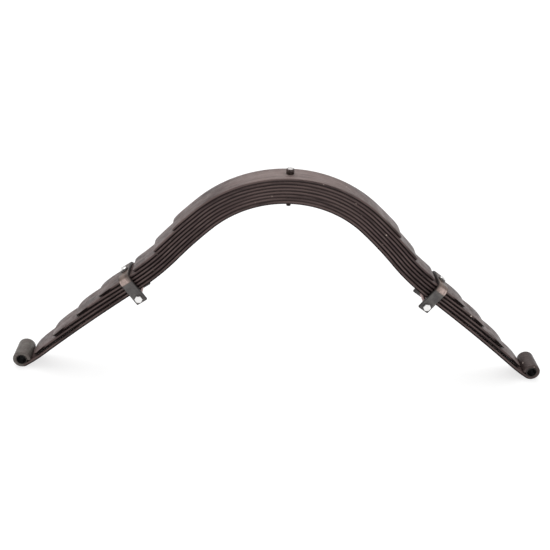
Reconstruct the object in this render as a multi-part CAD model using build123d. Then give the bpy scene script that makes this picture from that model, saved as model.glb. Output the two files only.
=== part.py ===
from build123d import *
import math
import os

os.makedirs("parts", exist_ok=True)

# A transverse leaf spring: eight leaves on one centre bolt, arched upward, standing on its two eyes.
# Millimetres. The origin is on the centre bolt axis, on the seat face of the shortest leaf.
# +X runs along the span, +Y across the leaves, +Z up.

# Leaf stock: flat spring bar with rolled edges
leaf_width = 57.15
leaf_thickness = 6.65
leaf_count = 8
leaf_edge_radius = 2.0
stack_height = leaf_count * leaf_thickness

# One arm of the main leaf's underside, from the centre bolt outward: bend radius and turn of each
# stretch in order. A positive turn falls away downward, a negative one lifts again.
bend_radii = (220.0, 860.0, 515.0, 4000.0, 333.0)
bend_turns = (42.2, 6.6, -12.1, 3.8, -8.1)

# The free spring's leaves part slightly along the arms: in the second stretch each turns down a little less
spread_turn = 0.48
spread_turn_per_leaf = 0.31

# Distance of each leaf's nose from the centre bolt, along the main leaf's underside
nose_stations = {2: 656.0, 3: 592.0, 4: 520.0, 5: 453.0, 6: 354.0, 7: 288.0, 8: 226.0}

# Two kinds of nose: the long leaves are forged thin and rounded in plan, the three short ones are cut
# nearly square. Each has a corner radius in plan, a length that thins, and a thickness at its tip.
forged_nose = (17.0, 46.0, 2.8)
cut_nose = (7.0, 24.0, 5.0)
first_cut_leaf = 6
nose_block = 60.0

# Eyes rolled upward from the ends of the main leaf, and the sleeve inside each
eye_bore_radius = 11.7
eye_outer_radius = eye_bore_radius + leaf_thickness
eye_wrap = 304.0
bush_outer_radius = 11.4
bush_bore_radius = 10.1
bush_chamfer = 0.5

# Centre bolt and nut
bolt_radius = 4.76
bolt_hole_radius = 5.15
centre_head_radius = 7.94
centre_head_height = 10.0
centre_head_chamfer = 1.3
centre_bolt_below = 14.3
nut_across_flats = 14.29
nut_height = 8.3
nut_bore_radius = 4.84
underside_gap = 0.16
thread_end_chamfer = 0.9

# Rebound clips: a bent strap riveted on top of the fifth leaf, closed below by a bolt
clip_station = 378.5
clip_leaf = 5
clip_width = 25.4
clip_thickness = 6.35
clip_side_gap = 1.5
clip_top_gap = 0.2
clip_bend_radius = 3.5
clip_shoulder_radius = 15.0
clip_ear_reach = 27.8
clip_ear_corner = 2.0
clip_bolt_drop = 15.8
clip_bolt_past_nut = 3.5
clip_head_height = 5.95
clip_inner_half = leaf_width / 2 + clip_side_gap
clip_outer_half = clip_inner_half + clip_thickness
clip_inner_top = clip_leaf * leaf_thickness + clip_top_gap
clip_outer_top = clip_inner_top + clip_thickness

# Clip rivets: domed head above the strap, flush tail sunk in the fifth leaf
rivet_radius = 4.75
rivet_strap_hole_radius = 4.95
rivet_leaf_hole_radius = 5.15
rivet_head_radius = 8.3
rivet_head_height = 6.4
rivet_tail_radius = 6.8
rivet_tail_height = 2.4
rivet_tail_lift = 0.35
sink_clearance = 0.6


def leaf_bends(number):
    """Radius and turn of each stretch of the line that a leaf is stacked on."""
    radii, turns = list(bend_radii), list(bend_turns)
    if number > 1:
        turns[1] -= spread_turn + spread_turn_per_leaf * (number - 2)
        radii[1] *= bend_turns[1] / turns[1]
    return [(math.copysign(r, turn), math.radians(turn)) for r, turn in zip(radii, turns)]


bend_ends = [sum(r * a for r, a in leaf_bends(1)[: n + 1]) for n in range(len(bend_radii))]
arm_length = bend_ends[-1]


def arm_frame(station, height=0.0, number=1):
    """A point of the right arm as x, z and heading, from its distance along and above a leaf's line."""
    x, z, heading = 0.0, -stack_height, 0.0
    left = station
    for radius, turn in leaf_bends(number):
        part = min(left / radius, turn, key=abs)
        x += radius * (math.sin(heading + part) - math.sin(heading))
        z += radius * (math.cos(heading + part) - math.cos(heading))
        heading += part
        left -= radius * part
    return x + height * math.sin(heading), z + height * math.cos(heading), heading


def arm_point(side, station, height, number=1):
    x, z, heading = arm_frame(station, height, number)
    return Vector(side * x, 0, z)


def arm_run(side, end, height, number=1):
    """The curve that follows the arm from the centre to a station, one arc for each bend."""
    stops = [0.0] + [s for s in bend_ends if s < end - 0.01] + [end]
    arcs = []
    for a, b in zip(stops, stops[1:]):
        points = [arm_point(side, s, height, number) for s in (a, (a + b) / 2, b)]
        arcs.append(ThreePointArc(*points))
    return arcs


def bar_from(edges):
    """A bar of leaf width whose side view is bounded by the given edges."""
    side_view = Face(Wire(edges))
    return extrude(side_view, amount=leaf_width / 2, dir=(0, 1, 0), both=True)


def roll_edges(bar):
    """Round the long edges of a bar on both sides."""
    long_edges = [
        e for e in bar.edges()
        if abs(abs(e.center().Y) - leaf_width / 2) < 0.01 and e.length > leaf_thickness + 1
    ]
    return fillet(long_edges, leaf_edge_radius)


def local_frame(station, number):
    """A frame on the line of a leaf of the right arm: X outboard along the leaf, Z square to it."""
    x, z, heading = arm_frame(station, 0, number)
    outboard = (math.cos(heading), 0, -math.sin(heading))
    upward = (math.sin(heading), 0, math.cos(heading))
    return Plane(origin=(x, 0, z), x_dir=outboard, z_dir=upward)


def upright(radius, bottom, top):
    """A round bar standing on the centre bolt axis between two heights."""
    return Pos(0, 0, bottom) * Cylinder(radius, top - bottom, align=(Align.CENTER, Align.CENTER, Align.MIN))


def cone(bottom_radius, top_radius, bottom, top):
    shape = Cone(bottom_radius, top_radius, top - bottom, align=(Align.CENTER, Align.CENTER, Align.MIN))
    return Pos(0, 0, bottom) * shape


def both_sides(shape):
    """The shape and its mirror image on the other arm."""
    return [("right", shape), ("left", mirror(shape, about=Plane.YZ))]


def hexagon_prism(bore_radius, height):
    """A hexagon with both ends chamfered, standing on z = 0; a nut if it has a bore."""
    prism = extrude(RegularPolygon(nut_across_flats / 2, 6, major_radius=False), amount=height)
    corner = nut_across_flats / math.sqrt(3)
    turned = chamfer(Cylinder(corner, height, align=(Align.CENTER, Align.CENTER, Align.MIN)).edges()
                     .filter_by(GeomType.CIRCLE), 0.6)
    prism = prism & turned
    if bore_radius:
        prism -= upright(bore_radius, -1, height + 1)
    return prism


def main_leaf():
    edges = []
    for side in (1, -1):
        x, z, heading = arm_frame(arm_length, eye_outer_radius)
        centre = Vector(side * x, 0, z)
        outboard = Vector(side * math.cos(heading), 0, -math.sin(heading))
        upward = Vector(side * math.sin(heading), 0, math.cos(heading))

        def around(radius, degrees):
            a = math.radians(degrees)
            return centre + outboard * (radius * math.sin(a)) - upward * (radius * math.cos(a))

        edges += arm_run(side, arm_length, 0)
        edges += arm_run(side, arm_length, leaf_thickness)
        for radius in (eye_outer_radius, eye_bore_radius):
            edges.append(ThreePointArc(*[around(radius, a) for a in (0, eye_wrap / 2, eye_wrap)]))
        edges.append(Line(around(eye_outer_radius, eye_wrap), around(eye_bore_radius, eye_wrap)))
    return roll_edges(bar_from(edges))


def short_leaf(number):
    """One of the leaves above the main leaf: thinned on top toward each nose, its corners rounded."""
    low = (number - 1) * leaf_thickness
    high = low + leaf_thickness
    nose = nose_stations[number]
    corner, thinning, tip = forged_nose if number < first_cut_leaf else cut_nose
    edges = []
    for side in (1, -1):
        edges += arm_run(side, nose, low, number)
        edges += arm_run(side, nose, high, number)
        edges.append(Line(arm_point(side, nose, low, number), arm_point(side, nose, high, number)))
    bar = roll_edges(bar_from(edges))

    def top(back, cut):
        return arm_point(1, nose - back, high - cut, number)

    full_cut = leaf_thickness - tip
    start, end, past, above = top(thinning, 0), top(0, full_cut), top(-2, full_cut), top(-2, -5)
    slope = ThreePointArc(start, top(thinning / 2, full_cut / 4), end)
    wedge = Face(Wire([slope, Line(end, past), Line(past, above), Line(above, start)]))
    wedge = extrude(wedge, amount=leaf_width, dir=(0, 1, 0), both=True)

    block = Pos(nose_block - corner, 0, 0) * Rectangle(nose_block, 2 * leaf_width)
    trimming = Pos(0, 0, low) * (block - RectangleRounded(nose_block, leaf_width, corner))
    trimming = extrude(trimming, amount=2 * leaf_thickness, both=True)
    trimming = local_frame(nose - nose_block / 2, number).location * trimming
    for waste in (wedge, trimming):
        for side_name, part in both_sides(waste):
            bar -= part
    return bar


def rivet_sink():
    """The hole in the fifth leaf for a clip rivet, in the clip's own frame."""
    low = (clip_leaf - 1) * leaf_thickness
    wide = rivet_tail_radius + sink_clearance
    hole = upright(rivet_leaf_hole_radius, low - 1, low + leaf_thickness + 1)
    top = low + rivet_tail_lift + rivet_tail_height + 0.2
    return hole + cone(wide, rivet_leaf_hole_radius, low - 0.05, top)


def clip_strap():
    reach = clip_outer_top + clip_ear_reach
    outer = Pos(0, 0, -clip_ear_reach) * Box(
        clip_width, 2 * clip_outer_half, reach, align=(Align.CENTER, Align.CENTER, Align.MIN))
    outer = fillet(outer.edges().filter_by(Axis.X).group_by(Axis.Z)[-1], clip_shoulder_radius)
    inner = Pos(0, 0, -clip_ear_reach - 5) * Box(
        clip_width + 10, 2 * clip_inner_half, clip_inner_top + clip_ear_reach + 5,
        align=(Align.CENTER, Align.CENTER, Align.MIN))
    inner = fillet(inner.edges().filter_by(Axis.X).group_by(Axis.Z)[-1], clip_bend_radius)
    strap = outer - inner
    ear_corners = strap.edges().filter_by(Axis.Y).group_by(Axis.Z)[0]
    strap = fillet(ear_corners, clip_ear_corner)
    strap -= Pos(0, 0, -clip_bolt_drop) * Rot(90, 0, 0) * Cylinder(bolt_hole_radius, 100)
    strap -= upright(rivet_strap_hole_radius, clip_inner_top - 5, clip_outer_top + 5)
    return strap


def clip_rivet():
    tail = (clip_leaf - 1) * leaf_thickness + rivet_tail_lift
    dome = (rivet_head_radius**2 + rivet_head_height**2) / (2 * rivet_head_height)
    ball = Pos(0, 0, clip_outer_top + rivet_head_height - dome) * Sphere(dome)
    head = ball & upright(rivet_head_radius, clip_outer_top, clip_outer_top + rivet_head_height + 1)
    shank = upright(rivet_radius, tail, clip_outer_top + 1)
    return head + shank + cone(rivet_tail_radius, rivet_radius, tail, tail + rivet_tail_height)


def clip_bolt():
    """Head on the -Y ear, shank through both ears and the nut."""
    length = 2 * clip_outer_half + nut_height + clip_bolt_past_nut
    shank = Cylinder(bolt_radius, length, align=(Align.CENTER, Align.CENTER, Align.MIN))
    shank = chamfer(shank.edges().group_by(Axis.Z)[-1], thread_end_chamfer)
    head = Pos(0, 0, -clip_head_height) * hexagon_prism(0, clip_head_height)
    return Pos(0, -clip_outer_half, -clip_bolt_drop) * Rot(-90, 0, 0) * (shank + head)


def clip_nut():
    nut = hexagon_prism(nut_bore_radius, nut_height)
    return Pos(0, clip_outer_half, -clip_bolt_drop) * Rot(-90, 0, 0) * nut


def centre_bolt():
    head = upright(centre_head_radius, 0, centre_head_height)
    head = chamfer(head.edges().group_by(Axis.Z)[-1], centre_head_chamfer)
    shank = upright(bolt_radius, -stack_height - centre_bolt_below, 1)
    shank = chamfer(shank.edges().group_by(Axis.Z)[0], thread_end_chamfer)
    return head + shank


def centre_bolt_nut():
    nut = hexagon_prism(nut_bore_radius, nut_height)
    return Pos(0, 0, -stack_height - underside_gap - nut_height) * nut


def eye_bush():
    tube = Cylinder(bush_outer_radius, leaf_width) - Cylinder(bush_bore_radius, leaf_width)
    rims = tube.edges().filter_by(GeomType.CIRCLE).filter_by(lambda e: e.radius < bush_bore_radius + 0.1)
    tube = chamfer(rims, bush_chamfer)
    x, z, heading = arm_frame(arm_length, eye_outer_radius)
    return Pos(x, 0, z) * Rot(90, 0, 0) * tube


pieces = {"main_leaf": main_leaf()}
for number in range(2, leaf_count + 1):
    pieces[f"leaf_{number}"] = short_leaf(number)

centre_hole = upright(bolt_hole_radius, -stack_height - 5, 5)
for name in pieces:
    pieces[name] -= centre_hole

clip_place = local_frame(clip_station, clip_leaf).location
for side_name, sink in both_sides(clip_place * rivet_sink()):
    pieces[f"leaf_{clip_leaf}"] -= sink

pieces["centre_bolt"] = centre_bolt()
pieces["centre_bolt_nut"] = centre_bolt_nut()

arm_pieces = {
    "eye_bush": eye_bush(),
    "clip_strap": clip_place * clip_strap(),
    "clip_rivet": clip_place * clip_rivet(),
    "clip_bolt": clip_place * clip_bolt(),
    "clip_nut": clip_place * clip_nut(),
}
for name, shape in arm_pieces.items():
    for side_name, placed in both_sides(shape):
        pieces[f"{side_name}_{name}"] = placed

for name, shape in pieces.items():
    export_step(shape, f"parts/{name}.step")
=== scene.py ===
import math

import bmesh
import bpy
from mathutils import Matrix, Vector


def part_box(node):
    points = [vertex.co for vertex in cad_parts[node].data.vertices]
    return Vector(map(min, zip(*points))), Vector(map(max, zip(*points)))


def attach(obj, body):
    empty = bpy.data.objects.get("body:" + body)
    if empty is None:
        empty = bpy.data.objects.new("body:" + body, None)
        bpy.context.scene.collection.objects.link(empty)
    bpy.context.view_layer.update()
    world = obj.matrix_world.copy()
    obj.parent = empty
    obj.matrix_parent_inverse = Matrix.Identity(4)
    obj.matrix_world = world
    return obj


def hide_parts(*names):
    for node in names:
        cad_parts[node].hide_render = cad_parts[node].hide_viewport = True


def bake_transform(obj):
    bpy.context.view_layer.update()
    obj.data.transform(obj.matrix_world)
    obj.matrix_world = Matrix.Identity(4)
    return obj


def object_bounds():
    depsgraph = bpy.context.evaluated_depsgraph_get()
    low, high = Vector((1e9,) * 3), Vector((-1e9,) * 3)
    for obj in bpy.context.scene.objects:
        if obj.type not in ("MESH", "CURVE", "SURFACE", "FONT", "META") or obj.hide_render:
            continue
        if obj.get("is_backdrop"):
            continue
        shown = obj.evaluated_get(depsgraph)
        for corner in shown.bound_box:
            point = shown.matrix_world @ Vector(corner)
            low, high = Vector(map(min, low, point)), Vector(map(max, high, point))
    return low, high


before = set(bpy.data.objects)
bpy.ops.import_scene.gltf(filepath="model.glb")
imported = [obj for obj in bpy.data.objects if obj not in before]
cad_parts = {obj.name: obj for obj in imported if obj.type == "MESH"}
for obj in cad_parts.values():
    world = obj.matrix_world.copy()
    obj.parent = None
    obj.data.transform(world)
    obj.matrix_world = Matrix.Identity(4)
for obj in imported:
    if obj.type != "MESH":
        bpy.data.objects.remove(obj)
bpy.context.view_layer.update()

# The looks of an arched leaf spring. Metres, in the frame of the CAD model: the origin is on the centre
# bolt axis at the seat face of the shortest leaf, +X along the span, +Y across the leaves, +Z up.

SIDES = {"left": -1, "right": 1}

# Leaf stock, from the CAD: every leaf is one bar, and the stack is eight bars high
BAR_LOW, BAR_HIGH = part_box("leaf_8")
HALF_WIDTH = (BAR_HIGH.y - BAR_LOW.y) / 2
THICKNESS = 0.00665
LEAF_COUNT = 8
STACK = LEAF_COUNT * THICKNESS
LEAF_GAP = 0.0001
EDGE_ROLL = 0.0021
EDGE_FULLNESS = 0.74
ROW_STEP = 0.004
EYE_ROW_STEP = ROW_STEP / 3

# A bar's section has this many faces across each flat and round each rolled edge
FLAT_FACES = 8
ROLL_FACES = 6

# Faces that meet at more than this many degrees have a sharp edge between them
SHARP_EDGE = 35.0

# Patterns on one piece lie this far from the patterns on the next
PATTERN_STEP = 0.1

# One arm of the main leaf's underside, from the centre bolt outward: bend radius and turn in degrees
BEND_RADII = (0.220, 0.860, 0.515, 4.000, 0.333)
BEND_TURNS = (42.2, 6.6, -12.1, 3.8, -8.1)
ARM_LENGTH = sum(r * math.radians(abs(turn)) for r, turn in zip(BEND_RADII, BEND_TURNS))

# The free spring's leaves part slightly along the arms: in the second stretch each turns down a little less
SPREAD_TURN = 0.48
SPREAD_TURN_PER_LEAF = 0.31

# Noses of the short leaves: distance from the centre bolt, then for the forged noses of the long leaves and
# the cut noses of the short ones a corner radius in plan, a length that thins and a thickness at the tip
NOSES = {2: 0.656, 3: 0.592, 4: 0.520, 5: 0.453, 6: 0.354, 7: 0.288, 8: 0.226}
FORGED_NOSE = (0.017, 0.046, 0.0028)
CUT_NOSE = (0.007, 0.024, 0.0050)
FIRST_CUT_LEAF = 6

# Eyes and their sleeves
EYE_OUTER = 0.01835
EYE_WRAP = math.radians(304)
BUSH_OUTER = 0.0114
BUSH_BORE = 0.0101

# Bolts: they share one shank and thread
SHANK_RADIUS = 0.00476
THREAD_PITCH = 0.0015875
THREAD_DEPTH = 0.00085
THREAD_TIP_CHAMFER = 0.0009
THREAD_ROWS_PER_TURN = 8
CENTRE_HEAD_RADIUS = 0.00794
CENTRE_HEAD_CHAMFER = 0.0013
CENTRE_SHANK_STEP = 0.015
CENTRE_THREAD_START = -STACK + 0.004

# Hexagons: half the width across flats, the circle and slope of their turned-off corners, the raised face
# under a bolt head, and a nut's bore
NUT_APOTHEM = 0.007145
NUT_HEIGHT = 0.0083
HEXAGON_CIRCLE = NUT_APOTHEM * 0.97
HEXAGON_CROWN = 0.52
WASHER_RADIUS = NUT_APOTHEM * 0.95
WASHER_FACE = 0.0005
NUT_CLEARANCE = 0.00008
NUT_COUNTERSINK = 0.0006

# Rebound clips
CLIP_STATION = 0.3785
CLIP_LEAF = 5
CLIP_HALF = 0.0127
CLIP_THICKNESS = 0.00635
CLIP_INNER_HALF = HALF_WIDTH + 0.0015
CLIP_OUTER_HALF = CLIP_INNER_HALF + CLIP_THICKNESS
CLIP_INNER_TOP = CLIP_LEAF * THICKNESS + 0.0002
CLIP_OUTER_TOP = CLIP_INNER_TOP + CLIP_THICKNESS
CLIP_BEND = 0.0035
CLIP_SHOULDER = 0.0150
CLIP_EAR_REACH = 0.0278
CLIP_EAR_CORNER = 0.002
CLIP_EDGE = 0.0011
CLIP_BOLT_DROP = 0.0158
CLIP_BOLT_PAST_NUT = 0.0035
CLIP_THREAD_LENGTH = 0.028
CLIP_HEAD_HEIGHT = 0.00595
CLIP_HEAD_DISH = 0.00025
CLIP_ROW_STEP = 0.0025
CLIP_BEND_ROWS = 12
RIVET_RADIUS = 0.0083
RIVET_HEIGHT = 0.0064
RIVET_TAIL_RADIUS = 0.0068
RIVET_TAIL_DEPTH = 0.0024
RIVET_TAIL_SINK = 0.00035

# Two stations along the arms, and a height at the middle of the stack
BEND_START = 0.060
BEND_END = 0.340
BEND_HEIGHT = 0.025

# Colours of the finishes, as linear red, green and blue
COAT_BLACK = (0.017, 0.0098, 0.0098)
COAT_BROWN = (0.048, 0.030, 0.029)
COAT_STREAK = (0.086, 0.058, 0.055)
COAT_RUST = (0.080, 0.040, 0.029)
# Rubbed paint, and also a painted highlight on the upper half of each rolled edge
COAT_RUBBED_AND_HIGHLIGHT = (0.112, 0.078, 0.073)
COAT_DUST = (0.245, 0.188, 0.176)
COAT_STAIN = (0.026, 0.018, 0.021)
COAT_BARE = (0.150, 0.118, 0.108)
COAT_SPECK = (0.62, 0.52, 0.46)
# Painted shade, near black, for the grooves between leaves and the forged noses' edges
GROOVE_PAINTED_SHADE = (0.0055, 0.0035, 0.0035)
# Painted light on the left eye and painted shade on the right one
LEFT_EYE_LIT = (0.118, 0.110, 0.099)
RIGHT_EYE_SHADED = (0.040, 0.029, 0.027)
STRAP_DARK = (0.038, 0.027, 0.023)
STRAP_BROWN = (0.098, 0.070, 0.058)
# Painted light on the near half of the strap's top
STRAP_PAINTED_LIGHT = (0.205, 0.150, 0.126)
STRAP_SCRATCH = (0.26, 0.20, 0.17)
# Painted highlight on the foot of each strap shoulder
STRAP_HIGHLIGHT = (0.56, 0.43, 0.39)
# Painted shade on the strap's edges, inner face and round the rivet
STRAP_PAINTED_SHADE = (0.016, 0.0125, 0.012)
# Painted reflection on the clip's upright ears
EAR_REFLECTION_DARK = (0.056, 0.050, 0.050)
EAR_REFLECTION_GREY = (0.108, 0.100, 0.095)
ZINC_DULL = (0.72, 0.71, 0.70)
ZINC_BRIGHT = (0.90, 0.89, 0.88)
ZINC_SHANK = (0.30, 0.205, 0.195)
BOLT_BLACK = (0.045, 0.036, 0.034)
BOLT_BROWN = (0.13, 0.105, 0.10)
BOLT_RUBBED = (0.80, 0.77, 0.76)
RIVET_BLACK = (0.045, 0.040, 0.038)
RIVET_GREY = (0.16, 0.15, 0.145)
# Painted highlight on the rivet's crown
RIVET_HIGHLIGHT = (0.93, 0.92, 0.91)
SLEEVE_DARK = (0.035, 0.030, 0.027)
SLEEVE_GREY = (0.075, 0.068, 0.060)
# Painted shade inside the sleeve's bore
SLEEVE_BORE_SHADE = (0.006, 0.005, 0.005)

# Floor paper, which glows so that the shadows on it stay faint, and light. The world is dimmer overhead.
PAPER_GREY = 0.42
PAPER_GLOW = 0.68
WORLD_LEVEL, WORLD_OVERHEAD = 1.0, 0.6
SUN_STRENGTH = 1.5
SUN_WIDTH = 60.0
SUN_DIRECTION = Vector((0.1, -0.45, -1.0))

# Camera: where it looks, and how it stands to that point, in degrees and metres
CAMERA_TARGET = Vector((-0.0193, 0.0, -0.2252))
CAMERA_ELEVATION = 27.889
CAMERA_AZIMUTH = -2.747
CAMERA_ROLL = 2.986
CAMERA_DISTANCE = 1.7703
CAMERA_LENS = 55.85


def leaf_bends(number):
    """Radius and turn of each stretch of the line that a leaf is stacked on."""
    radii, turns = list(BEND_RADII), list(BEND_TURNS)
    if number > 1:
        turns[1] -= SPREAD_TURN + SPREAD_TURN_PER_LEAF * (number - 2)
        radii[1] *= BEND_TURNS[1] / turns[1]
    return [(math.copysign(r, turn), math.radians(turn)) for r, turn in zip(radii, turns)]


LINES = {number: leaf_bends(number) for number in range(1, LEAF_COUNT + 1)}


def quarter_turn(steps, first=0):
    """Angles from nothing to a right angle."""
    return [math.radians(90 * n / steps) for n in range(first, steps + 1)]


def arm_frame(station, height=0.0, number=1):
    """Where a point lies on the right arm: x, z and heading, for a distance along and above a leaf's line."""
    x, z, heading = 0.0, -STACK, 0.0
    left = station
    for radius, turn in LINES[number]:
        part = min(left / radius, turn, key=abs)
        x += radius * (math.sin(heading + part) - math.sin(heading))
        z += radius * (math.cos(heading + part) - math.cos(heading))
        heading += part
        left -= radius * part
    return x + height * math.sin(heading), z + height * math.cos(heading), heading


def arm_place(side, station, across, height, number=1):
    """A point of the stack; past the end of the main leaf's arm it goes round the eye."""
    x, z, heading = arm_frame(min(station, ARM_LENGTH), height, number)
    if station > ARM_LENGTH:
        angle = (station - ARM_LENGTH) / EYE_OUTER
        x, z, heading = arm_frame(ARM_LENGTH, EYE_OUTER)
        radius = EYE_OUTER - height
        out, up = radius * math.sin(angle), -radius * math.cos(angle)
        x += out * math.cos(heading) + up * math.sin(heading)
        z += up * math.cos(heading) - out * math.sin(heading)
    return Vector((side * x, across, z))


class Shape:
    """A mesh in the making. Its points also carry their place on the piece, which way they face, and how far
    they are into a thinned nose."""

    def __init__(self, name):
        self.name = name
        self.mesh = bmesh.new()
        self.place = self.mesh.verts.layers.float_vector.new("place")
        self.up = self.mesh.verts.layers.float.new("up")
        self.nose = self.mesh.verts.layers.float.new("nose")

    def point(self, where, place, up=0.0, nose=0.0):
        """A new point, with its place on the piece for the patterns to follow."""
        vertex = self.mesh.verts.new(where)
        vertex[self.place] = Vector(place)
        vertex[self.up] = up
        vertex[self.nose] = nose
        return vertex

    def face(self, corners):
        self.mesh.faces.new(corners)

    def join_rows(self, a, b):
        """Faces between two closed rows of points."""
        for n in range(len(a)):
            m = (n + 1) % len(a)
            self.face([a[n], a[m], b[m], b[n]])

    def finish(self, material, slot, replaced):
        """The finished object, with its points merged, its faces turned outward and its edges shaded."""
        bmesh.ops.remove_doubles(self.mesh, verts=self.mesh.verts, dist=1e-6)
        bmesh.ops.dissolve_degenerate(self.mesh, edges=self.mesh.edges, dist=1e-7)
        bmesh.ops.recalc_face_normals(self.mesh, faces=self.mesh.faces)
        data = bpy.data.meshes.new(self.name)
        self.mesh.to_mesh(data)
        self.mesh.free()
        data.polygons.foreach_set("use_smooth", [True] * len(data.polygons))
        data.set_sharp_from_angle(angle=math.radians(SHARP_EDGE))
        data.materials.append(material)
        made = bpy.data.objects.new(self.name, data)
        bpy.context.scene.collection.objects.link(made)
        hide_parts(*replaced)
        return made


def rolled_loop():
    """Once round a bar's section: the share across, the share of the edge roll, the share of the height, and
    which way the surface faces."""
    loop = []
    for lateral in (1, -1):
        for n in range(ROLL_FACES + 1):
            turn = lateral * math.radians(-90 + 180 * n / ROLL_FACES)
            rise = math.copysign(abs(math.sin(turn)) ** EDGE_FULLNESS, math.sin(turn))
            roll = 1 - max(math.cos(turn), 0) ** EDGE_FULLNESS
            loop.append((lateral, roll, (1 + rise) / 2, math.sin(turn)))
        for n in range(1, FLAT_FACES):
            loop.append((lateral * (1 - 2 * n / FLAT_FACES), 1, (1 + lateral) / 2, lateral))
    return loop


def slab(shape, outline, thickness_at, roll, place_at, mark, thinning=0.0, open_start=False,
         open_end=False):
    """A bar with rolled edges. The outline is half of its plan: points along it, with the half width
    there. An open end is flat; any other end is rolled like the edges."""
    end = outline[-1][0]
    loop = rolled_loop()
    rows = []
    for n, (along, half) in enumerate(outline):
        before = outline[max(n - 1, 0)]
        after = outline[min(n + 1, len(outline) - 1)]
        way = Vector((after[1] - before[1], before[0] - after[0])).normalized()
        normal = -way
        if n == 0:
            normal = Vector((0, 1)) if open_start else Vector((-1, 0))
        if n == len(outline) - 1:
            normal = Vector((0, 1)) if open_end else Vector((1, 0))
        row = []
        for lateral, share, lift, up in loop:
            s = along - roll * share * normal.x
            y = lateral * max(half - roll * share * normal.y, 0)
            row.append((s, y, lift * thickness_at(s), up))
        rows.append(row)

    def make(s, y, n, up):
        nose = max(0.0, 1 - (end - s) / thinning) if thinning else 0.0
        return shape.point(place_at(s, y, n), mark(s, y, n), up, nose)

    made = [[make(*p) for p in row] for row in rows]
    for a, b in zip(made, made[1:]):
        shape.join_rows(a, b)
    for row, points, is_open in ((rows[0], made[0], open_start), (rows[-1], made[-1], open_end)):
        if is_open:
            shape.face(points)
        else:
            close_end(shape, row, make)


def close_end(shape, row, make):
    """The rolled end face of a bar, between its two edges."""
    second = ROLL_FACES + FLAT_FACES
    near, far = row[: ROLL_FACES + 1], row[second: second + ROLL_FACES + 1][::-1]
    grid = []
    for (s, y, n, up), (_, far_y, _, _) in zip(near, far):
        grid.append([make(s, y + (far_y - y) * k / FLAT_FACES, n, up) for k in range(FLAT_FACES + 1)])
    for a, b in zip(grid, grid[1:]):
        for k in range(FLAT_FACES):
            shape.face([a[k], a[k + 1], b[k + 1], b[k]])


def steps_between(start, end, step):
    """Stations about one step apart, from the start up to but not including the end."""
    count = max(1, round((end - start) / step))
    return [start + (end - start) * n / count for n in range(count)]


def short_leaf(number, side_name):
    """Half of a leaf without eyes, from the centre bolt to its nose."""
    side = SIDES[side_name]
    nose = NOSES[number]
    low = (number - 1) * THICKNESS + LEAF_GAP / 2
    full = THICKNESS - LEAF_GAP
    corner, thinning, tip = FORGED_NOSE if number < FIRST_CUT_LEAF else CUT_NOSE
    shoulder = nose - corner

    def thickness_at(s):
        return full - (full - tip) * max(0.0, (s - nose) / thinning + 1) ** 2

    outline = [(s, HALF_WIDTH) for s in steps_between(0, shoulder, ROW_STEP)]
    for turn in quarter_turn(14):
        half = HALF_WIDTH - corner * (1 - math.cos(turn))
        outline.append((shoulder + corner * math.sin(turn), half))
    shape = Shape(f"{side_name}_half_of_leaf_{number}")
    slab(shape, outline, thickness_at, EDGE_ROLL,
         lambda s, y, n: arm_place(side, s, y, low + n, number),
         lambda s, y, n: (side * s, y, n + number * PATTERN_STEP), thinning, open_start=True)
    return shape


def main_leaf(side_name):
    """Half of the lowest leaf, from the centre bolt to the end of its rolled eye."""
    side = SIDES[side_name]
    thickness = THICKNESS - LEAF_GAP / 2
    end = ARM_LENGTH + EYE_WRAP * EYE_OUTER
    outline = [(s, HALF_WIDTH) for s in steps_between(0, ARM_LENGTH, ROW_STEP)]
    outline += [(s, HALF_WIDTH) for s in steps_between(ARM_LENGTH, end, EYE_ROW_STEP)]
    outline.append((end, HALF_WIDTH))
    shape = Shape(f"{side_name}_half_of_main_leaf")
    slab(shape, outline, lambda s: thickness, EDGE_ROLL, lambda s, y, n: arm_place(side, s, y, n),
         lambda s, y, n: (side * s, y, n), open_start=True, open_end=True)
    return shape


def leaves(material):
    """The eight leaves, in halves, one on each arm."""
    for side_name, side in SIDES.items():
        start = arm_place(side, BEND_START, 0, BEND_HEIGHT)
        end = arm_place(side, BEND_END, 0, BEND_HEIGHT)
        halves = {"main_leaf": main_leaf(side_name)}
        for number in NOSES:
            halves[f"leaf_{number}"] = short_leaf(number, side_name)
        for node, shape in halves.items():
            half = shape.finish(material, "spring_steel_painted", [node])
            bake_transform(half)


def turned(shape, rows, matrix, segments=48):
    """A piece turned about its own Z axis. Each row gives the radius and height at an angle."""
    made = []
    for row in rows:
        ring = []
        for n in range(segments):
            angle = 2 * math.pi * n / segments
            radius, height = row(angle) if callable(row) else row
            local = Vector((radius * math.cos(angle), radius * math.sin(angle), height))
            ring.append(shape.point(matrix @ local, local))
        made.append(ring)
    for a, b in zip(made, made[1:]):
        shape.join_rows(a, b)


def thread_rows(start, end):
    """Rows of a screw thread between two heights, with a chamfered tip at the end."""
    rows = []
    count = round(abs(end - start) / THREAD_PITCH * THREAD_ROWS_PER_TURN)
    for n in range(count + 1):
        height = start + (end - start) * n / count
        fade = min(1.0, 3 * n / count)
        tip = max(0.0, THREAD_TIP_CHAMFER - abs(end - height))

        def row(angle, height=height, fade=fade, tip=tip):
            turn = (height / THREAD_PITCH - angle / (2 * math.pi)) % 1
            cut = THREAD_DEPTH * fade * (1 - abs(2 * turn - 1)) ** 0.8
            return min(SHANK_RADIUS - cut, SHANK_RADIUS - tip), height

        rows.append(row)
    return rows


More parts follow.
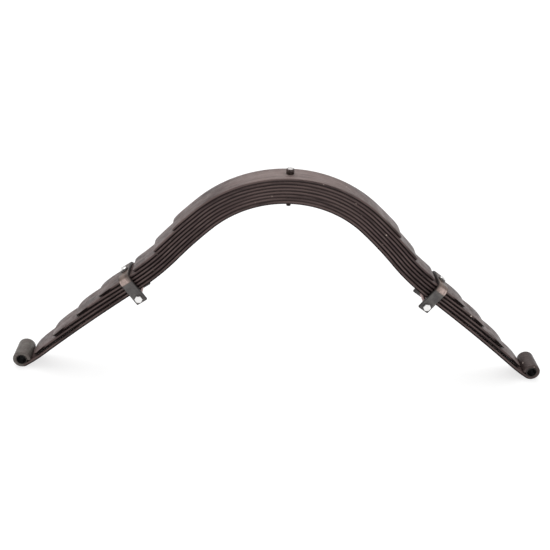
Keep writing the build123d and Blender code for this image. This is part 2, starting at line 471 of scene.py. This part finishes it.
def hexagon_rows(bottom, top):
    """Rows up the outside of a hexagon whose corners are turned off at both ends."""
    def at(height, way):
        def row(angle):
            from_flat = (angle + math.pi / 6) % (math.pi / 3) - math.pi / 6
            radius = NUT_APOTHEM / math.cos(from_flat)
            return radius, height - way * HEXAGON_CROWN * (radius - HEXAGON_CIRCLE)
        return row

    return [(HEXAGON_CIRCLE, bottom), at(bottom, -1), at(top, 1), (HEXAGON_CIRCLE, top)]


def clip_frame(side):
    """The clip's frame on one arm: X outboard along the fifth leaf, Y across, Z up. The left one is
    mirrored."""
    x, z, heading = arm_frame(CLIP_STATION, 0, CLIP_LEAF)
    return Matrix((
        (side * math.cos(heading), 0, side * math.sin(heading), side * x),
        (0, 1, 0, 0),
        (-math.sin(heading), 0, math.cos(heading), z),
        (0, 0, 0, 1)))


def bolt_frame(side):
    """The clip bolt's frame: Z along the bolt toward +Y, with the near ear's outer face at zero."""
    clip = clip_frame(side)
    origin = clip @ Vector((0, -CLIP_OUTER_HALF, -CLIP_BOLT_DROP))
    outboard = (clip @ Vector((1, 0, 0))) - (clip @ Vector((0, 0, 0)))
    forward = Vector((0, 1, 0))
    third = forward.cross(outboard)
    return Matrix.Translation(origin) @ Matrix((outboard, third, forward)).transposed().to_4x4()


def clip_bolt(side_name):
    """The bolt across the ears: a hexagon head with a shallow dish, and a shank threaded at its end."""
    side = SIDES[side_name]
    shape = Shape(f"{side_name}_hex_bolt")
    length = 2 * CLIP_OUTER_HALF + NUT_HEIGHT + CLIP_BOLT_PAST_NUT
    face, dish = -CLIP_HEAD_HEIGHT, CLIP_HEAD_DISH
    rows = [(0, face + dish), (NUT_APOTHEM * 0.62, face + dish * 0.8), (NUT_APOTHEM * 0.70, face)]
    rows += hexagon_rows(face, -WASHER_FACE)
    rows += [(WASHER_RADIUS, -WASHER_FACE), (WASHER_RADIUS, 0), (SHANK_RADIUS, 0)]
    threads = length - CLIP_THREAD_LENGTH
    rows += [(SHANK_RADIUS, threads * n / 8) for n in range(1, 9)]
    rows += thread_rows(threads, length)
    rows += [(0, length)]
    turned(shape, rows, bolt_frame(side), segments=60)
    return shape


def nut(name, matrix, bottom, top):
    """A hexagon nut with a countersunk bore."""
    shape = Shape(name)
    bore = SHANK_RADIUS + NUT_CLEARANCE
    mouth = bore + NUT_COUNTERSINK
    rows = [(bore, bottom + NUT_COUNTERSINK), (mouth, bottom)]
    rows += hexagon_rows(bottom, top)
    rows += [(mouth, top), (bore, top - NUT_COUNTERSINK), (bore, bottom + NUT_COUNTERSINK)]
    turned(shape, rows, matrix, segments=60)
    return shape


def clip_nut(side_name):
    """The nut on the far ear."""
    base = 2 * CLIP_OUTER_HALF
    return nut(f"{side_name}_hex_nut", bolt_frame(SIDES[side_name]), base, base + NUT_HEIGHT)


def clip_rivet(side_name):
    """The domed head on the strap, its shank and its flush tail."""
    matrix = clip_frame(SIDES[side_name])
    shape = Shape(f"{side_name}_round_rivet")
    rows = [(0, CLIP_OUTER_TOP + RIVET_HEIGHT)]
    for turn in quarter_turn(14, first=1):
        swell = math.sin(turn) ** 0.92
        drop = 1 - math.cos(turn) ** 0.86
        rows.append((RIVET_RADIUS * swell, CLIP_OUTER_TOP + RIVET_HEIGHT * (1 - drop * 0.97)))
    rows += [(RIVET_RADIUS * 0.985, CLIP_OUTER_TOP), (SHANK_RADIUS, CLIP_OUTER_TOP)]
    tail = (CLIP_LEAF - 1) * THICKNESS + RIVET_TAIL_SINK
    rows += [(SHANK_RADIUS, tail + RIVET_TAIL_DEPTH), (RIVET_TAIL_RADIUS, tail), (0, tail)]
    turned(shape, rows, matrix, segments=48)
    return shape


def strap_line():
    """The strap's inner face as a U: the lengths of a straight ear, a bend and the top."""
    ear = CLIP_INNER_TOP - CLIP_BEND + CLIP_EAR_REACH
    bend = CLIP_BEND * math.pi / 2
    top = 2 * (CLIP_INNER_HALF - CLIP_BEND)
    return ear, bend, top


def strap_face(left, half_width, top_height, radius):
    """A point of the inner or the outer face, as across and height, at a length from the end of an ear."""
    ear, bend, top = strap_line()
    if left < ear:
        return half_width, -CLIP_EAR_REACH + left / ear * (top_height - radius + CLIP_EAR_REACH)
    if left < ear + bend:
        turn = (left - ear) / CLIP_BEND
        return half_width - radius * (1 - math.cos(turn)), top_height - radius * (1 - math.sin(turn))
    return (half_width - radius) * (1 - (left - ear - bend) / (top / 2)), top_height


def strap_place(side, s, a, n):
    """s runs from the near ear's end over the top to the far ear's end; the shoulders are thinner outside."""
    ear, bend, top = strap_line()
    half = ear + bend + top / 2
    left = half - abs(s - half)
    inner = Vector(strap_face(left, CLIP_INNER_HALF, CLIP_INNER_TOP, CLIP_BEND))
    outer = Vector(strap_face(left, CLIP_OUTER_HALF, CLIP_OUTER_TOP, CLIP_SHOULDER))
    y, z = inner.lerp(outer, n / CLIP_THICKNESS)
    return clip_frame(side) @ Vector((a, y if s > half else -y, z))


def clip_strap(side_name):
    """The bent strap, from ear to ear over the leaves, with the corners of its ears rounded."""
    side = SIDES[side_name]
    ear, bend, top = strap_line()
    total = 2 * (ear + bend) + top
    corner = CLIP_EAR_CORNER
    arc = []
    for turn in quarter_turn(6):
        arc.append((corner * (1 - math.cos(turn)), CLIP_HALF - corner * (1 - math.sin(turn))))
    stations = steps_between(corner, ear, CLIP_ROW_STEP)[1:]
    stations += steps_between(ear, ear + bend, bend / CLIP_BEND_ROWS)
    stations += steps_between(ear + bend, ear + bend + top, CLIP_ROW_STEP)
    stations += steps_between(ear + bend + top, total - ear, bend / CLIP_BEND_ROWS)
    stations += steps_between(total - ear, total - corner, CLIP_ROW_STEP)
    outline = arc + [(s, CLIP_HALF) for s in stations]
    outline += [(total - s, half) for s, half in reversed(arc)]
    shape = Shape(f"{side_name}_bent_strap")
    slab(shape, outline, lambda s: CLIP_THICKNESS, CLIP_EDGE,
         lambda s, a, n: strap_place(side, s, a, n),
         lambda s, a, n: (s - total / 2, a, n + side * PATTERN_STEP))
    return shape


def eye_bush(side_name):
    """The sleeve in an eye, with its edges chamfered."""
    side = SIDES[side_name]
    x, z, _ = arm_frame(ARM_LENGTH, EYE_OUTER)
    matrix = Matrix.Translation((side * x, 0, z)) @ Matrix.Rotation(math.radians(-90), 4, "X")
    shape = Shape(f"{side_name}_sleeve")
    lip, half = 0.0005, HALF_WIDTH
    rows = [(BUSH_OUTER, -half + lip), (BUSH_OUTER - lip, -half), (BUSH_BORE + lip, -half)]
    rows += [(BUSH_BORE, -half + lip), (BUSH_BORE, 0), (BUSH_BORE, half - lip)]
    rows += [(BUSH_BORE + lip, half), (BUSH_OUTER - lip, half), (BUSH_OUTER, half - lip)]
    rows += [(BUSH_OUTER, 0), (BUSH_OUTER, -half + lip)]
    turned(shape, rows, matrix, segments=64)
    return shape


def centre_bolt():
    """The round-headed bolt through the leaves, threaded where it leaves the stack."""
    low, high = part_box("centre_bolt")
    chamfer = CENTRE_HEAD_CHAMFER
    shape = Shape("round_head_bolt")
    rows = [(0, high.z), (CENTRE_HEAD_RADIUS * 0.55, high.z - 0.0001)]
    for turn in quarter_turn(6):
        radius = CENTRE_HEAD_RADIUS - chamfer * (1 - math.sin(turn))
        rows.append((radius, high.z - chamfer * (1 - math.cos(turn))))
    rows += [(CENTRE_HEAD_RADIUS, 0.0005), (CENTRE_HEAD_RADIUS - 0.0003, 0), (SHANK_RADIUS, 0)]
    rows += [(SHANK_RADIUS, -CENTRE_SHANK_STEP * n) for n in range(1, 4)]
    rows += thread_rows(CENTRE_THREAD_START, low.z)
    rows += [(0, low.z)]
    turned(shape, rows, Matrix.Identity(4), segments=48)
    return shape


def centre_nut():
    """The nut under the main leaf."""
    low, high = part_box("centre_bolt_nut")
    return nut("centre_hex_nut", Matrix.Identity(4), low.z, high.z)


def fittings(finishes):
    """Everything but the leaves: the centre bolt rides on the pack, and each arm carries its own set."""
    bolt = centre_bolt().finish(finishes["bolt_steel_dark"], "bolt_steel_dark", ["centre_bolt"])
    nut_piece = centre_nut().finish(finishes["bolt_steel_dark"], "bolt_steel_dark", ["centre_bolt_nut"])
    for piece in (bolt, nut_piece):
        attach(piece, "leaf_pack")
    kinds = {
        "eye_bush": (eye_bush, "bush_steel"),
        "clip_strap": (clip_strap, "clip_steel_painted"),
        "clip_rivet": (clip_rivet, "rivet_steel"),
        "clip_bolt": (clip_bolt, "zinc_plated_steel"),
        "clip_nut": (clip_nut, "zinc_plated_steel"),
    }
    for side_name in SIDES:
        for node, (make, slot) in kinds.items():
            piece = make(side_name).finish(finishes[slot], slot, [f"{side_name}_{node}"])
            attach(piece, f"{side_name}_arm")


class Finish:
    """A procedural material around one Principled shader. Patterns follow each point's place on its piece."""

    def __init__(self, name, **constants):
        self.material = bpy.data.materials.new(name)
        self.material.use_nodes = True
        self.tree = self.material.node_tree
        self.shader = self.tree.nodes["Principled BSDF"]
        for socket, value in constants.items():
            self.shader.inputs[socket.replace("_", " ")].default_value = value
        self.place = self.attribute("place", "Vector")
        self.up = self.attribute("up", "Fac")
        self.nose = self.attribute("nose", "Fac")

    def node(self, kind, **settings):
        made = self.tree.nodes.new("ShaderNode" + kind)
        for setting, value in settings.items():
            setattr(made, setting, value)
        return made

    def feed(self, socket, value):
        """Links another node's socket, or sets a value."""
        if isinstance(value, bpy.types.NodeSocket):
            self.tree.links.new(value, socket)
        else:
            socket.default_value = value

    def attribute(self, name, output):
        """A value that the mesh carries at each of its points."""
        return self.node("Attribute", attribute_name=name).outputs[output]

    def scaled(self, scale):
        """The place on the piece, stretched by a scale for each direction."""
        made = self.node("Mapping")
        self.feed(made.inputs["Vector"], self.place)
        made.inputs["Scale"].default_value = scale
        return made.outputs["Vector"]

    def noise(self, scale, detail=4.0, rough=0.6):
        """Noise with the given number of features in a metre, along, across and through the piece."""
        made = self.node("TexNoise")
        scale = scale if isinstance(scale, tuple) else (scale, scale, scale)
        self.feed(made.inputs["Vector"], self.scaled(scale))
        made.inputs["Scale"].default_value = 1.0
        made.inputs["Detail"].default_value = detail
        made.inputs["Roughness"].default_value = rough
        return made.outputs["Fac"]

    def between(self, value, low, high, start=0.0, end=1.0):
        """Turns value smoothly from start, at low, to end, at high."""
        made = self.node("MapRange", interpolation_type="SMOOTHSTEP")
        self.feed(made.inputs["Value"], value)
        for socket, number in (("From Min", low), ("From Max", high), ("To Min", start), ("To Max", end)):
            made.inputs[socket].default_value = number
        return made.outputs["Result"]

    def calculate(self, operation, a, b=0.0):
        """The result of one sum; a second value counts only where the operation has one."""
        made = self.node("Math", operation=operation)
        self.feed(made.inputs[0], a)
        self.feed(made.inputs[1], b)
        return made.outputs["Value"]

    def product(self, first, *others):
        for other in others:
            first = self.calculate("MULTIPLY", first, other)
        return first

    def size(self, value):
        return self.calculate("ABSOLUTE", value)

    def larger(self, a, b):
        return self.calculate("MAXIMUM", a, b)

    def from_axis(self):
        """The distance from a turned piece's axis, or from the middle of a strap's top."""
        x, y, _ = self.parts(self.place)
        return self.calculate("SQRT", self.calculate("ADD", self.product(x, x), self.product(y, y)))

    def parts(self, vector):
        """A vector's three parts."""
        split = self.node("SeparateXYZ")
        self.feed(split.inputs["Vector"], vector)
        return split.outputs["X"], split.outputs["Y"], split.outputs["Z"]

    def mix(self, share, a, b):
        """Colour a, with b laid over it by its share."""
        made = self.node("Mix", data_type="RGBA")
        self.feed(made.inputs["Factor"], share)
        self.feed(made.inputs["A"], a if isinstance(a, bpy.types.NodeSocket) else (*a, 1))
        self.feed(made.inputs["B"], b if isinstance(b, bpy.types.NodeSocket) else (*b, 1))
        return made.outputs["Result"]

    def cells(self, scale):
        """Scattered cells: the distance to each cell's middle, and a number of the cell's own."""
        made = self.node("TexVoronoi")
        self.feed(made.inputs["Vector"], self.scaled((scale, scale, scale)))
        made.inputs["Scale"].default_value = 1.0
        split = self.node("SeparateColor")
        self.feed(split.inputs["Color"], made.outputs["Color"])
        return made.outputs["Distance"], split.outputs["Red"]

    def facing_sky(self):
        """How far the surface faces up, from -1 to 1."""
        return self.parts(self.node("NewGeometry").outputs["Normal"])[2]

    def relief(self, *layers):
        """Bumps laid over one another, each a height and its depth in metres."""
        normal = None
        for height, depth in layers:
            made = self.node("Bump")
            made.inputs["Distance"].default_value = depth
            self.feed(made.inputs["Height"], height)
            if normal is not None:
                self.feed(made.inputs["Normal"], normal)
            normal = made.outputs["Normal"]
        self.feed(self.shader.inputs["Normal"], normal)

    def use(self, colour, roughness):
        """The material, with its colour and roughness connected."""
        self.feed(self.shader.inputs["Base Color"], colour)
        self.feed(self.shader.inputs["Roughness"], roughness)
        return self.material


def old_coat(f):
    """Brown-black patches streaked along the bar, with a little rust, and lighter along the upper half of
    each
    edge: partly rubbed paint, partly a painted highlight where the rolled edge faces up."""
    patches = f.between(f.noise(14.0, detail=5.0), 0.35, 0.65)
    coat = f.mix(patches, COAT_BLACK, COAT_BROWN)
    streaks = f.between(f.noise((9.0, 220.0, 220.0), detail=4.0), 0.35, 0.68)
    coat = f.mix(f.product(streaks, 0.60), coat, COAT_STREAK)
    rust = f.between(f.noise(34.0, detail=6.0, rough=0.7), 0.60, 0.72, 0.0, 0.5)
    coat = f.mix(rust, coat, COAT_RUST)
    wear_and_highlight = f.between(f.noise((16.0, 90.0, 90.0), detail=4.0), 0.36, 0.60)
    # Painted highlight, with real rubbing: the upper half of each rolled edge is lightened
    return f.mix(f.product(f.between(f.up, -0.05, 0.45), wear_and_highlight), coat, COAT_RUBBED_AND_HIGHLIGHT)


def leaf_dust(f, along):
    """Share of dust: on top faces that lie nearly level, cut along the far right arm as painted shade."""
    sky = f.between(f.facing_sky(), 0.82, 1.0, 0.0, 0.88)
    film = f.between(f.noise((14.0, 130.0, 130.0), detail=7.0, rough=0.75), 0.34, 0.64, 0.25, 1.0)
    # Painted shade: along the far right arm the pale dust is cut to about half, as that arm lies in shade
    right = f.between(along, 0.36, 0.52, 1.0, 0.55)
    return f.product(f.between(f.up, 0.55, 0.95), sky, film, right)


def leaf_marks(f, coat, across):
    """Dark stains on the far half of each nose, and patches of bare steel on the top faces."""
    far = f.product(f.between(across, -0.002, 0.018), f.between(f.nose, 0.05, 0.4),
                    f.between(f.up, 0.8, 1.0))
    stain = f.product(far, f.between(f.noise(90.0, detail=5.0), 0.35, 0.62))
    coat = f.mix(f.product(stain, 0.8), coat, COAT_STAIN)
    worn = f.between(f.noise((70.0, 45.0, 45.0), detail=6.0), 0.60, 0.70)
    bare = f.product(f.between(f.up, 0.8, 1.0), worn)
    return f.mix(f.product(bare, 0.5), coat, COAT_BARE)


def leaf_shade(f, from_centre, on_leaf):
    """Share of painted shade, near black: in the grooves between the leaves, and on the thinned edges of the
    forged noses.
    """
    deeper = f.between(from_centre, 0.05, 0.24, 0.62, 1.0)
    groove = f.product(f.between(f.up, -0.97, -0.90), f.between(f.up, -0.30, 0.15, 1.0, 0.0),
                       on_leaf, deeper)
    first_cut = NOSES[FIRST_CUT_LEAF]
    forged = f.between(from_centre, first_cut, first_cut + 0.04, 0.25, 1.0)
    wedge = f.product(f.between(f.up, 0.55, 0.92, 1.0, 0.0), f.between(f.nose, 0.04, 0.30), forged)
    return f.larger(groove, wedge)


def leaf_specks(f, along):
    """Share of pale chips: small dots, most of them on the near edge of the right arm."""
    distance, lot = f.cells(95.0)
    return f.product(f.between(distance, 0.10, 0.19, 1.0, 0.0), f.between(lot, 0.925, 0.93),
                     f.between(along, -0.05, 0.08, 0.15, 1.0), f.between(f.up, 0.70, 0.95, 1.0, 0.3))


def painted_spring_steel():
    """Thin dark coating over rolled bar: dusty on top, near-black painted shade in the grooves between
    leaves, chipped to pale specks, painted light on the left eye and painted shade on the right one."""
    f = Finish("painted_spring_steel", Specular_Tint=(1.0, 0.84, 0.81, 1.0))
    along, across, _ = f.parts(f.place)
    from_centre = f.size(along)
    on_leaf = f.between(from_centre, ARM_LENGTH, ARM_LENGTH + 0.012, 1.0, 0.0)

    dust = leaf_dust(f, along)
    coat = leaf_marks(f, f.mix(dust, old_coat(f), COAT_DUST), across)
    shade = leaf_shade(f, from_centre, on_leaf)
    # Painted shade: the grooves between leaves and the thinned edges of the forged noses are darkened to near
    # black
    coat = f.mix(shade, coat, GROOVE_PAINTED_SHADE)
    # Painted light and shade: the left eye is lightened as lit, the right one darkened as shaded
    eye_light_and_shade = f.product(f.between(on_leaf, 0.0, 1.0, 1.0, 0.0), f.between(f.noise(70.0), 0.3, 0.7, 0.45, 1.0))
    coat = f.mix(eye_light_and_shade, coat, f.mix(f.between(along, -0.1, 0.1), LEFT_EYE_LIT, RIGHT_EYE_SHADED))
    coat = f.mix(leaf_specks(f, along), coat, COAT_SPECK)

    f.feed(f.shader.inputs["Specular IOR Level"], f.between(shade, 0.0, 1.0, 0.40, 0.04))
    roughness = f.calculate("ADD", f.between(f.noise(60.0), 0.3, 0.7, 0.36, 0.56), f.product(dust, 0.12))
    f.relief((f.noise(260.0, detail=5.0, rough=0.65), 0.0006), (f.noise((30.0, 500.0, 500.0)), 0.0003))
    return f.use(coat, roughness)


def strap_highlight(f, across, past_bend):
    """Share of the painted highlight, a bright band at the foot of each shoulder."""
    rows = f.product(f.between(past_bend, 0.0022, 0.0034), f.between(past_bend, 0.0048, 0.0062, 1.0, 0.0))
    return f.product(rows, f.between(across, -0.010, 0.0, 0.15, 1.0),
                     f.between(f.noise(240.0, detail=3.0), 0.30, 0.55, 0.35, 1.0))


def painted_clip_steel():
    """Bronze-brown coating on bent strap: painted light toward the near bend and a painted highlight on it,
    painted grey reflection on the ears, and painted shade on the edges, the inner face and round the rivet."""
    f = Finish("painted_clip_steel", Specular_IOR_Level=0.4)
    along, across, _ = f.parts(f.place)
    bend = CLIP_INNER_HALF - CLIP_BEND
    past_bend = f.calculate("SUBTRACT", f.size(along), bend)
    patches = f.between(f.noise(60.0, detail=5.0), 0.35, 0.65)
    coat = f.mix(patches, STRAP_DARK, STRAP_BROWN)
    # Painted light: the near half of the top is lightened toward the near bend, where it curves to face the
    # light
    light = f.product(f.between(along, -bend - 0.004, -0.004, 1.0, 0.0),
                      f.between(patches, 0.0, 1.0, 0.25, 0.8))
    coat = f.mix(light, coat, STRAP_PAINTED_LIGHT)
    # Painted reflection: the upright ears are turned grey, as they mirror the surroundings
    ear = f.between(past_bend, 0.0050, 0.0075)
    coat = f.mix(ear, coat, f.mix(patches, EAR_REFLECTION_DARK, EAR_REFLECTION_GREY))
    scratches = f.between(f.noise((60.0, 900.0, 300.0)), 0.58, 0.70)
    coat = f.mix(f.product(scratches, 0.5), coat, STRAP_SCRATCH)
    # Painted highlight: a bright band across the foot of each shoulder
    coat = f.mix(strap_highlight(f, across, past_bend), coat, STRAP_HIGHLIGHT)

    # Painted shade: near black along the edges, on the inner face against the leaves, and in a ring round the
    # rivet
    rim_shade = f.between(f.size(across), CLIP_HALF - 0.0021, CLIP_HALF - 0.0010, 0.0, 0.75)
    inside = f.product(f.between(f.up, 0.2, 0.9, 1.0, 0.0), f.between(along, bend, bend + 0.01, 1.0, 0.35))
    ring = f.between(f.from_axis(), RIVET_RADIUS + 0.0004, RIVET_RADIUS + 0.0018, 1.0, 0.0)
    coat = f.mix(f.larger(f.larger(rim_shade, inside), ring), coat, STRAP_PAINTED_SHADE)
    f.relief((f.noise(420.0, detail=5.0), 0.0004))
    return f.use(coat, f.between(f.noise(120.0), 0.3, 0.7, 0.34, 0.52))


def zinc_plate():
    """Bright plating, dull and brown on the shank between the ears of a clip."""
    f = Finish("zinc_plate", Metallic=1.0)
    cloud = f.noise(500.0, detail=4.0)
    colour = f.mix(f.between(cloud, 0.3, 0.7), ZINC_DULL, ZINC_BRIGHT)
    height = f.parts(f.place)[2]
    shank = f.product(f.between(height, 0.0002, 0.0030), f.between(height, 0.070, 0.073, 1.0, 0.0))
    colour = f.mix(shank, colour, ZINC_SHANK)
    f.relief((f.noise(1500.0), 0.00008))
    return f.use(colour, f.between(cloud, 0.3, 0.7, 0.24, 0.38))


def dark_bolt_steel():
    """Blackened steel with the middle of its head rubbed bright."""
    f = Finish("dark_bolt_steel", Metallic=1.0)
    patches = f.between(f.noise(300.0, detail=4.0), 0.3, 0.7)
    colour = f.mix(patches, BOLT_BLACK, BOLT_BROWN)
    rubbed = f.product(f.between(f.parts(f.place)[2], 0.0088, 0.0096),
                       f.between(f.from_axis(), 0.0045, 0.0064, 1.0, 0.0),
                       f.between(f.noise(400.0), 0.3, 0.6, 0.4, 1.0))
    colour = f.mix(rubbed, colour, BOLT_RUBBED)
    f.relief((f.noise(900.0), 0.0001))
    return f.use(colour, f.between(patches, 0.0, 1.0, 0.30, 0.45))


def rivet_steel():
    """A dark glossy rivet, with a painted highlight on its crown."""
    f = Finish("rivet_steel_gloss", Metallic=1.0)
    patches = f.between(f.noise(220.0, detail=4.0), 0.35, 0.65)
    colour = f.mix(patches, RIVET_BLACK, RIVET_GREY)
    # Painted highlight: the crown of the dome is made near white
    crown = f.product(f.between(f.from_axis(), 0.0058, 0.0072, 1.0, 0.0),
                      f.between(patches, 0.0, 1.0, 1.0, 0.7))
    colour = f.mix(crown, colour, RIVET_HIGHLIGHT)
    f.relief((f.noise(420.0), 0.0002))
    return f.use(colour, f.between(patches, 0.0, 1.0, 0.16, 0.26))


def bush_steel():
    """A dark sleeve, with black painted shade inside its bore."""
    f = Finish("sleeve_steel", Specular_IOR_Level=0.3)
    patches = f.between(f.noise(250.0, detail=4.0), 0.35, 0.65)
    colour = f.mix(patches, SLEEVE_DARK, SLEEVE_GREY)
    # Painted shade: the bore is turned near black
    bore = f.between(f.from_axis(), BUSH_BORE, BUSH_BORE + 0.0006, 1.0, 0.0)
    colour = f.mix(bore, colour, SLEEVE_BORE_SHADE)
    f.relief((f.noise(700.0), 0.0001))
    return f.use(colour, f.between(patches, 0.0, 1.0, 0.40, 0.55))


def floor():
    """A plain white floor under the spring."""
    low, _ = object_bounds()
    size = 30.0
    data = bpy.data.meshes.new("floor")
    corners = [(-size, -size, low.z), (size, -size, low.z), (size, size, low.z), (-size, size, low.z)]
    data.from_pydata(corners, [], [(0, 1, 2, 3)])
    made = bpy.data.objects.new("floor", data)
    bpy.context.scene.collection.objects.link(made)
    paper = bpy.data.materials.new("white_paper")
    paper.use_nodes = True
    inputs = paper.node_tree.nodes["Principled BSDF"].inputs
    inputs["Base Color"].default_value = (PAPER_GREY, PAPER_GREY, PAPER_GREY, 1)
    inputs["Roughness"].default_value = 0.9
    inputs["Specular IOR Level"].default_value = 0.0
    inputs["Emission Color"].default_value = (1.0, 1.0, 1.0, 1)
    inputs["Emission Strength"].default_value = PAPER_GLOW
    data.materials.append(paper)
    made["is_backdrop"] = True


def light():
    """A pale world, a little dimmer overhead, and one wide soft sun above and behind the spring."""
    world = bpy.data.worlds.new("studio")
    bpy.context.scene.world = world
    world.use_nodes = True
    tree = world.node_tree
    direction = tree.nodes.new("ShaderNodeSeparateXYZ")
    tree.links.new(tree.nodes.new("ShaderNodeTexCoord").outputs["Generated"], direction.inputs["Vector"])
    fall = tree.nodes.new("ShaderNodeMapRange")
    tree.links.new(direction.outputs["Z"], fall.inputs["Value"])
    fall.inputs["From Max"].default_value = 0.6
    fall.inputs["To Min"].default_value = WORLD_LEVEL
    fall.inputs["To Max"].default_value = WORLD_OVERHEAD
    background = tree.nodes["Background"]
    background.inputs["Color"].default_value = (1.0, 1.0, 1.0, 1)
    tree.links.new(fall.outputs["Result"], background.inputs["Strength"])

    data = bpy.data.lights.new("soft_sun", "SUN")
    data.energy = SUN_STRENGTH
    data.angle = math.radians(SUN_WIDTH)
    sun = bpy.data.objects.new("soft_sun", data)
    sun.rotation_euler = SUN_DIRECTION.to_track_quat("-Z", "Y").to_euler()
    bpy.context.scene.collection.objects.link(sun)
    bpy.context.scene.view_settings.view_transform = "Standard"


def camera():
    """A camera in front of and above the spring, turned a little to its side and rolled a little."""
    elevation, azimuth = math.radians(CAMERA_ELEVATION), math.radians(CAMERA_AZIMUTH)
    level = math.cos(elevation)
    back = Vector((math.sin(azimuth) * level, -math.cos(azimuth) * level, math.sin(elevation)))
    data = bpy.data.cameras.new("camera")
    data.lens = CAMERA_LENS
    data.clip_end = 100.0
    view = bpy.data.objects.new("camera", data)
    roll = Matrix.Rotation(math.radians(CAMERA_ROLL), 4, "Z")
    turn = (-back).to_track_quat("-Z", "Y").to_matrix().to_4x4() @ roll
    view.matrix_world = Matrix.Translation(CAMERA_TARGET + back * CAMERA_DISTANCE) @ turn
    bpy.context.scene.collection.objects.link(view)
    bpy.context.scene.camera = view


finishes = {
    "spring_steel_painted": painted_spring_steel(),
    "bolt_steel_dark": dark_bolt_steel(),
    "bush_steel": bush_steel(),
    "clip_steel_painted": painted_clip_steel(),
    "rivet_steel": rivet_steel(),
    "zinc_plated_steel": zinc_plate(),
}
leaves(finishes["spring_steel_painted"])
fittings(finishes)
floor()
light()
camera()
